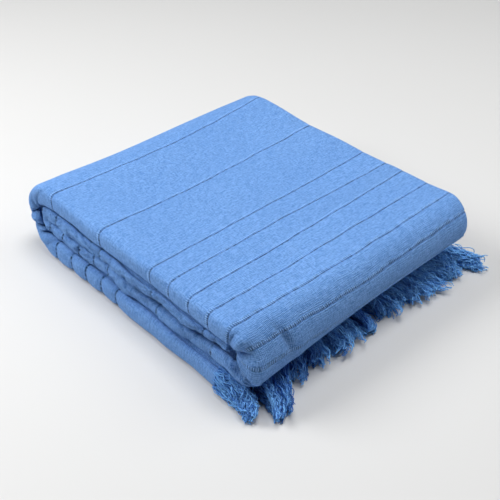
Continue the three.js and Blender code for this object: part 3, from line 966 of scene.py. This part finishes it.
def fringe_guides(thickness):
    """Paths of the fringe's locks in metres, from the cloth's end to the tips, and their point attributes."""
    rng = np.random.default_rng(FRINGE_SEED)
    share = np.linspace(0, 1, GUIDE_POINTS)[:, None]
    paths, lids, tones, curls = [], [], [], []
    roots = [(ROOT_X - ROOT_INSET, y, depth) for y, depth in zip(*lock_roots(thickness))]
    for low, high, count in TUFTS:
        roots += [(ROOT_X + rng.uniform(*TUFT_INSET), rng.uniform(low, high), rng.uniform(*TUFT_DEPTHS))
                  for _ in range(count)]
    for root_x, y, depth in roots:
        tassel = next((t for t in TASSELS if y < t["roots"][1]), TASSELS[-1])
        low, high = tassel["roots"]
        aside = np.clip(2 * (y - low) / (high - low) - 1, -1, 1)
        heading = math.radians(tassel["heading"] + rng.normal(0, LOCK_SCATTER["heading"]))
        way = np.array([math.cos(heading), math.sin(heading)])
        across = np.array([-math.sin(heading), math.cos(heading)])
        short = ROUNDED_END * aside**2 + rng.uniform(0, tassel["ragged"])
        sideways = aside * tassel["half"] + rng.normal(0, LOCK_SCATTER["tip"])
        tip = tassel["tip"] + across * sideways - way * short
        if depth < LOW_LOCK["depth"]:
            tip = lerp(np.array([LOW_LOCK["tip_x"], y * LOW_LOCK["splay"]]), tip, tassel["gather"])
        start = np.array([root_x, y])
        straight = np.interp(high - low, LOCK_WIDTHS, LOCK_START)
        first = start + (straight, rng.normal(0, LOCK_SCATTER["start"]))
        second = tip - way * tassel["hold"]
        plan = (1 - share) ** 3 * start + 3 * (1 - share) ** 2 * share * first
        plan += 3 * (1 - share) * share**2 * second + share**3 * tip
        x, path_y = plan.T
        _, root_z = settle(ROOT_X, y, depth)
        along = share[:, 0]
        pace, phase = rng.uniform(*LOCK_HEAVE["pace"]), rng.uniform(0, 2 * math.pi)
        heave = LOCK_HEAVE["height"] * along * np.sin(along * pace + phase)
        z = root_z * lerp(1.0, PILE_SETTLE, smoothstep(along, SETTLED_FROM, 1.0)) + heave
        # A lock's tone: a random part, and painted light and shade by its place across the cloth's end
        tone = rng.uniform(-LOCK_SCATTER["tone"], LOCK_SCATTER["tone"]) + np.interp(y, *PAINTED_LIGHT_AND_SHADE_TONES)
        paths.append((np.stack([x, path_y, z], axis=1) + SHIFT) * MM)
        lids.append((fold_underside(x, path_y) - LID_GAP) * MM)
        tones.append(np.full(GUIDE_POINTS, tone))
        curls.append(np.full(GUIDE_POINTS, tassel["curl"]))
    return paths, {"lid": lids, "tone": tones, "curl": curls}


def yarn_tree(settings, material):
    """Node tree that makes guide lines into kinked, curling yarns between the floor and what overhangs."""
    g = GuideTree("fringe yarns")
    yarns, radius, spread, kink, curl, tip_curl, points = (
        g.input(settings, key)
        for key in ("yarns", "yarn_radius", "spread", "kink", "curl", "tip_curl", "points"))
    copies = g.add("GeometryNodeDuplicateElements", {0: g.guides, "Amount": yarns}, domain="SPLINE")
    index = g.add("GeometryNodeInputIndex").outputs[0]

    def chance(low, high, seed):
        inputs = {2: low, 3: high, "ID": index, "Seed": seed}
        return g.add("FunctionNodeRandomValue", inputs, data_type="FLOAT").outputs[1]

    def named(name):
        return g.add("GeometryNodeInputNamedAttribute", {"Name": name}, data_type="FLOAT").outputs[0]

    held = g.add("GeometryNodeCaptureAttribute", {0: copies.outputs[0]}, domain="CURVE")
    for seed, (name, (low, high)) in enumerate(YARN_RANGES.items(), start=1):
        held.capture_items.new("FLOAT", name)
        g.tree.links.new(chance(low, high, seed), held.inputs[name])
    turn, out, phase, pace, coil, hand, tone = (held.outputs[name] for name in YARN_RANGES)
    ends = chance(*YARN_ENDS, YARN_END_SEED)
    trim = g.add("GeometryNodeTrimCurve", {0: held.outputs[0], "End": ends}, mode="FACTOR")
    even = g.add("GeometryNodeResampleCurve", {0: trim.outputs[0], "Count": points}, mode="COUNT")
    run = g.add("GeometryNodeSplineParameter").outputs
    along, length = run["Factor"], run["Length"]
    # Each yarn's place in its lock, which opens towards its tip
    loose = g.maths("MINIMUM", g.maths("MULTIPLY_ADD", along, 5.0, 0.25), 1.0)
    opening = g.maths("MULTIPLY_ADD", g.maths("SINE", g.times(along, 2.9)), 0.5, 0.5)
    reach = g.times(g.times(out, spread), opening)
    ring = g.vector(0.0, g.maths("COSINE", turn), g.times(g.maths("SINE", turn), 0.9))
    # Its kinks and curls
    place = g.add("GeometryNodeInputPosition").outputs[0]
    seat = g.vector(phase, g.times(phase, 1.7), turn)
    field = g.vectors("ADD", g.stretch(place, 60.0), seat)
    fuzz = g.add("ShaderNodeTexNoise", {"Vector": field, "Scale": 1.0, "Detail": 1.0}).outputs["Color"]
    fuzz = g.stretch(g.vectors("SUBTRACT", fuzz, (0.5, 0.5, 0.5)), g.times(kink, 4.0))
    angle = g.maths("MULTIPLY_ADD", length, pace, phase)
    sine, cosine = g.maths("SINE", angle), g.maths("COSINE", angle)
    helix = g.vector(g.times(sine, 0.6), g.times(cosine, hand), sine)
    growth = g.maths("MULTIPLY_ADD", g.maths("POWER", along, 2.0), tip_curl, 0.35)
    helix = g.stretch(helix, g.times(g.times(coil, curl), growth))
    strays = g.stretch(g.vectors("ADD", fuzz, helix), g.times(loose, named("curl")))
    offset = g.vectors("ADD", g.stretch(ring, reach), strays)
    moved = g.add("GeometryNodeSetPosition", {0: even.outputs[0], "Offset": offset})
    # Above the floor and below what overhangs
    spot = g.add("ShaderNodeSeparateXYZ", {0: place}).outputs
    level = g.maths("MAXIMUM", g.maths("MINIMUM", spot[2], named("lid")), g.times(radius, 2.0))
    flat = g.vector(spot[0], spot[1], level)
    laid = g.add("GeometryNodeSetPosition", {0: moved.outputs[0], "Position": flat})
    # Each yarn's tone: its lock's tone, which carries painted light and shade along the fringe, its own
    # random tone, and paler towards its tip
    shade = g.maths("MULTIPLY_ADD", named("tone"), 0.4, g.times(tone, 0.4))
    shade = g.maths("MULTIPLY_ADD", along, 0.2, shade)
    toned = g.add("GeometryNodeStoreNamedAttribute", {
        0: laid.outputs[0], "Name": "yarn_tone", "Value": shade}, data_type="FLOAT", domain="POINT")
    profile = g.add("GeometryNodeCurvePrimitiveCircle", {"Resolution": YARN_SIDES, "Radius": radius})
    tube = g.add("GeometryNodeCurveToMesh", {0: toned.outputs[0], 1: profile.outputs[0], "Fill Caps": True})
    real = g.add("GeometryNodeRealizeInstances", {0: tube.outputs[0]})
    done = g.add("GeometryNodeSetMaterial", {0: real.outputs[0], "Material": material})
    g.tree.links.new(done.outputs[0], g.end.inputs[0])
    return g


class BLANKET_OT_comb_fringe(bpy.types.Operator):
    """Comb the loose yarns of the fringe"""

    bl_idname = "blanket.comb_fringe"
    bl_label = "Comb Fringe"

    def execute(self, context):
        cloth, settings = context.scene.blanket_cloth, context.scene.blanket_fringe
        paths, values = fringe_guides(cloth.thickness / MM)
        material = loose_yarn("fringe yarn", settings.dark, settings.pale, "yarn_tone")
        tree = yarn_tree(settings, material)
        ends = np.linspace(0, len(paths), len(FRINGE_PIECES) + 1).astype(int)
        for name, first, last in zip(FRINGE_PIECES, ends[:-1], ends[1:]):
            guide = guide_object(name + "_guides", paths[first:last],
                                 {key: ("FLOAT", each[first:last]) for key, each in values.items()})
            piece = tree.spin(guide, name)
            dress(piece, material)
            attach(piece, BODY)
            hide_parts("fringe")
        return {"FINISHED"}


class BLANKET_OT_set_stage(bpy.types.Operator):
    """Lay the floor, and set the light and the camera"""

    bl_idname = "blanket.set_stage"
    bl_label = "Set Stage"

    def execute(self, context):
        scene, settings = context.scene, context.scene.blanket_stage
        half = settings.floor_size / 2
        corners = [(-half, -half, 0), (half, -half, 0), (half, half, 0), (-half, half, 0)]
        floor = mesh_object("floor", corners, [(0, 1, 2, 3)], smooth=False)
        material, tree, shader = new_material("pale studio floor")
        place = add(tree, "ShaderNodeTexCoord").outputs["Object"]
        cloud = noise(tree, place, 2.0)
        pale = (*settings.floor, 1)
        dim = (*(v * FLOOR_DIM for v in settings.floor), 1)
        tree.links.new(mix_colour(tree, cloud, dim, pale), shader.inputs["Base Color"])
        shader.inputs["Roughness"].default_value = 0.7
        shader.inputs["Specular IOR Level"].default_value = 0.2
        dress(floor, material)
        world = bpy.data.worlds.new("studio")
        world.use_nodes = True
        sky = world.node_tree.nodes["Background"].inputs
        sky[0].default_value = (1.0, 1.0, 1.0, 1.0)
        sky[1].default_value = settings.sky
        scene.world = world
        for name, place, size in LAMPS:
            self.lamp(scene, name, place, size, getattr(settings, name))
        turn, tilt = math.radians(AZIMUTH), math.radians(ELEVATION)
        back = Vector((
            math.sin(turn) * math.cos(tilt), -math.cos(turn) * math.cos(tilt), math.sin(tilt)))
        camera = bpy.data.objects.new("camera", bpy.data.cameras.new("camera"))
        camera.data.sensor_width = SENSOR
        camera.data.lens = LENS
        camera.data.clip_start = 0.01
        camera.location = (np.array(CAMERA_AT) + SHIFT) * MM
        camera.rotation_euler = (-back).to_track_quat("-Z", "Y").to_euler()
        scene.collection.objects.link(camera)
        scene.camera = camera
        scene.view_settings.view_transform = "Standard"
        scene.view_settings.look = "None"
        return {"FINISHED"}

    def lamp(self, scene, name, place, size, power):
        light = bpy.data.lights.new(name, "AREA")
        light.shape = "DISK"
        light.size = size
        light.energy = power
        lamp = bpy.data.objects.new(name, light)
        lamp.location = place
        lamp.rotation_euler = (-Vector(place)).to_track_quat("-Z", "Y").to_euler()
        scene.collection.objects.link(lamp)


class BLANKET_PT_panel(bpy.types.Panel):
    """Lists the blanket's pieces and their sizes"""

    bl_idname = "BLANKET_PT_panel"
    bl_label = "Folded Blanket"
    bl_space_type = "VIEW_3D"
    bl_region_type = "UI"
    bl_category = "Blanket"

    def draw(self, context):
        for operator, group in STEPS:
            box = self.layout.box()
            box.operator(operator.bl_idname)
            settings = getattr(context.scene, group)
            for key in settings.bl_rna.properties.keys():
                if key not in ("rna_type", "name"):
                    box.prop(settings, key)


GROUPS = {
    "blanket_cloth": BlanketClothSettings,
    "blanket_ladder": BlanketLadderSettings,
    "blanket_fringe": BlanketFringeSettings,
    "blanket_stage": BlanketStageSettings,
}
STEPS = (
    (BLANKET_OT_fold_cloth, "blanket_cloth"),
    (BLANKET_OT_thread_ladders, "blanket_ladder"),
    (BLANKET_OT_comb_fringe, "blanket_fringe"),
    (BLANKET_OT_set_stage, "blanket_stage"),
)
CLASSES = (*GROUPS.values(), *(operator for operator, _ in STEPS), BLANKET_PT_panel)


def register():
    for kind in CLASSES:
        bpy.utils.register_class(kind)
    for key, kind in GROUPS.items():
        setattr(bpy.types.Scene, key, bpy.props.PointerProperty(type=kind))


def unregister():
    for key in GROUPS:
        delattr(bpy.types.Scene, key)
    for kind in reversed(CLASSES):
        bpy.utils.unregister_class(kind)


def main():
    register()
    bpy.ops.blanket.fold_cloth()
    bpy.ops.blanket.thread_ladders()
    bpy.ops.blanket.comb_fringe()
    bpy.ops.blanket.set_stage()


if __name__ == "__main__":
    main()
